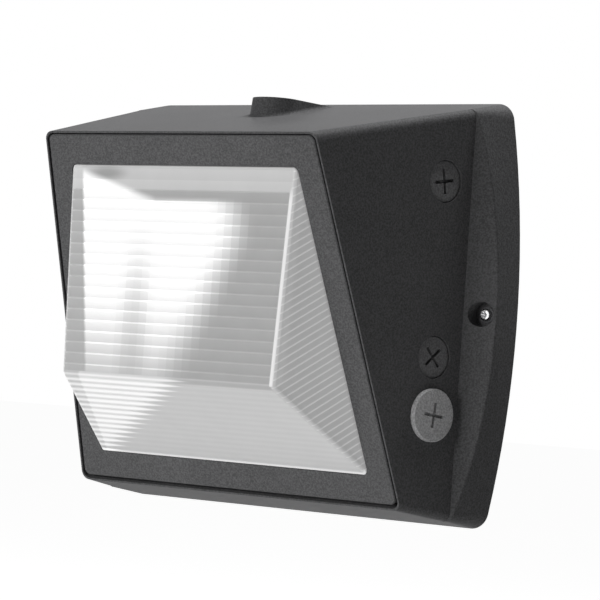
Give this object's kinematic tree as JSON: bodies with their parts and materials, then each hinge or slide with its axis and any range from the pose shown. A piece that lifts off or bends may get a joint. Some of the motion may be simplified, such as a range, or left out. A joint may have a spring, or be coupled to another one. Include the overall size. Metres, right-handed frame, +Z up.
{
  "type": "wall pack light",
  "caption": "Outdoor wall pack light: tapered cast housing with a bowed wall flange, slanted bezel frame, clear wedge-shaped prismatic lens and screw plugs in its conduit entries.",
  "frame": {"origin": "centre of the wall plate's back face, where its four fixing holes and its wire entry are centred, on the wall", "axes": "+Y into the wall, +X to the viewer's right, +Z up"},
  "size_m": [0.2554, 0.1265, 0.217],
  "materials": {
    "housing_paint": "fine textured dark powder coat on die-cast aluminium",
    "bezel_paint": "fine textured dark powder coat on die-cast aluminium",
    "plug_paint": "dark paint on cast aluminium",
    "plug_grey": "grey paint on cast aluminium",
    "lens_glass": "clear borosilicate prismatic glass",
    "seal_rubber": "matte silicone rubber",
    "thermal_pad": "matte silicone thermal pad",
    "board_white": "white solder mask",
    "phosphor": "phosphor under silicone",
    "connector_white": "moulded nylon",
    "reflector_white": "white enamelled aluminium sheet",
    "driver_case": "plain aluminium case",
    "terminal_plastic": "moulded thermoplastic",
    "zinc_steel": "zinc-plated steel",
    "bright_steel": "bright stainless steel",
    "ground_green": "green-dyed steel",
    "lead_red": "insulated wire",
    "lead_black": "insulated wire",
    "lead_green": "insulated wire",
    "plate_steel": "galvanised steel"
  },
  "bodies": {
    "wall_plate": {"wall_plate": "plate_steel", "plate_posts": "plate_steel"},
    "housing": {"housing": "housing_paint", "wall_gasket": "seal_rubber", "bezel_frame": "bezel_paint", "mouth_gasket": "seal_rubber", "lens_gasket": "seal_rubber", "lens": "lens_glass", "frame_washers": "zinc_steel", "frame_screws": "zinc_steel", "thermal_pad": "thermal_pad", "led_board": "board_white", "led_packages": "phosphor", "board_screws": "zinc_steel", "board_connector": "connector_white", "reflector": "reflector_white", "reflector_screws": "zinc_steel", "lead_grommet": "seal_rubber", "driver": "driver_case", "driver_screws": "zinc_steel", "terminal_block": "terminal_plastic", "terminal_screws": "zinc_steel", "block_screws": "zinc_steel", "ground_screw": "ground_green", "output_leads": "lead_red", "supply_leads": "lead_black", "ground_lead": "lead_green"},
    "washer_right": {"side_washer_right": "zinc_steel"},
    "screw_right": {"side_screw_right": "bright_steel"},
    "washer_left": {"side_washer_left": "zinc_steel"},
    "screw_left": {"side_screw_left": "bright_steel"},
    "seal_upper_right": {"upper_o_ring_right": "seal_rubber"},
    "plug_upper_right": {"upper_plug_right": "plug_paint"},
    "seal_lower_right": {"lower_o_ring_right": "seal_rubber"},
    "plug_lower_right": {"lower_plug_right": "plug_paint"},
    "seal_large_right": {"large_o_ring_right": "seal_rubber"},
    "plug_large_right": {"large_plug_right": "plug_grey"},
    "seal_upper_left": {"upper_o_ring_left": "seal_rubber"},
    "plug_upper_left": {"upper_plug_left": "plug_paint"},
    "seal_lower_left": {"lower_o_ring_left": "seal_rubber"},
    "plug_lower_left": {"lower_plug_left": "plug_paint"},
    "seal_top": {"top_o_ring": "seal_rubber"},
    "plug_top": {"top_plug": "plug_paint"}
  },
  "joints": [
    {"name": "housing_off", "type": "slide", "parent": "wall_plate", "child": "housing", "axis": [0, -1, 0], "range_m": [0, 0.15]},
    {"name": "screw_right_travel", "type": "slide", "parent": "housing", "child": "washer_right", "axis": [0, -1, 0], "range_m": [0, 0.0063]},
    {"name": "screw_right_turn", "type": "hinge", "parent": "washer_right", "child": "screw_right", "pos_m": [0.12, -0.016, 0], "axis": [0, -1, 0], "range_deg": [0, 3240]},
    {"name": "screw_left_travel", "type": "slide", "parent": "housing", "child": "washer_left", "axis": [0, -1, 0], "range_m": [0, 0.0063]},
    {"name": "screw_left_turn", "type": "hinge", "parent": "washer_left", "child": "screw_left", "pos_m": [-0.12, -0.016, 0], "axis": [0, -1, 0], "range_deg": [0, 3240]},
    {"name": "plug_upper_right_travel", "type": "slide", "parent": "housing", "child": "seal_upper_right", "axis": [0.9699, -0.2434, 0], "range_m": [0, 0.01179]},
    {"name": "plug_upper_right_turn", "type": "hinge", "parent": "seal_upper_right", "child": "plug_upper_right", "pos_m": [0.10733, -0.0425, 0.0646], "axis": [0.9699, -0.2434, 0], "range_deg": [0, 2340]},
    {"name": "plug_lower_right_travel", "type": "slide", "parent": "housing", "child": "seal_lower_right", "axis": [0.9699, -0.2434, 0], "range_m": [0, 0.01179]},
    {"name": "plug_lower_right_turn", "type": "hinge", "parent": "seal_lower_right", "child": "plug_lower_right", "pos_m": [0.10733, -0.0425, -0.0232], "axis": [0.9699, -0.2434, 0], "range_deg": [0, 2340]},
    {"name": "plug_large_right_travel", "type": "slide", "parent": "housing", "child": "seal_large_right", "axis": [0.9699, -0.2434, 0], "range_m": [0, 0.01089]},
    {"name": "plug_large_right_turn", "type": "hinge", "parent": "seal_large_right", "child": "plug_large_right", "pos_m": [0.10733, -0.0425, -0.052], "axis": [0.9699, -0.2434, 0], "range_deg": [0, 2160]},
    {"name": "plug_upper_left_travel", "type": "slide", "parent": "housing", "child": "seal_upper_left", "axis": [-0.9699, -0.2434, 0], "range_m": [0, 0.01179]},
    {"name": "plug_upper_left_turn", "type": "hinge", "parent": "seal_upper_left", "child": "plug_upper_left", "pos_m": [-0.10733, -0.0425, 0.0646], "axis": [-0.9699, -0.2434, 0], "range_deg": [0, 2340]},
    {"name": "plug_lower_left_travel", "type": "slide", "parent": "housing", "child": "seal_lower_left", "axis": [-0.9699, -0.2434, 0], "range_m": [0, 0.01179]},
    {"name": "plug_lower_left_turn", "type": "hinge", "parent": "seal_lower_left", "child": "plug_lower_left", "pos_m": [-0.10733, -0.0425, -0.0232], "axis": [-0.9699, -0.2434, 0], "range_deg": [0, 2340]},
    {"name": "plug_top_travel", "type": "slide", "parent": "housing", "child": "seal_top", "axis": [0, 0, 1], "range_m": [0, 0.01179]},
    {"name": "plug_top_turn", "type": "hinge", "parent": "seal_top", "child": "plug_top", "pos_m": [0, -0.0455, 0.10575], "axis": [0, 0, 1], "range_deg": [0, 2340]}
  ],
  "couplings": [
    {"joint": "screw_right_turn", "follows": "screw_right_travel", "rad_per_m": 8976},
    {"joint": "screw_left_turn", "follows": "screw_left_travel", "rad_per_m": 8976},
    {"joint": "plug_upper_right_turn", "follows": "plug_upper_right_travel", "rad_per_m": 3463.2},
    {"joint": "plug_lower_right_turn", "follows": "plug_lower_right_travel", "rad_per_m": 3463.2},
    {"joint": "plug_large_right_turn", "follows": "plug_large_right_travel", "rad_per_m": 3463.2},
    {"joint": "plug_upper_left_turn", "follows": "plug_upper_left_travel", "rad_per_m": 3463.2},
    {"joint": "plug_lower_left_turn", "follows": "plug_lower_left_travel", "rad_per_m": 3463.2},
    {"joint": "plug_top_turn", "follows": "plug_top_travel", "rad_per_m": 3463.2}
  ]
}
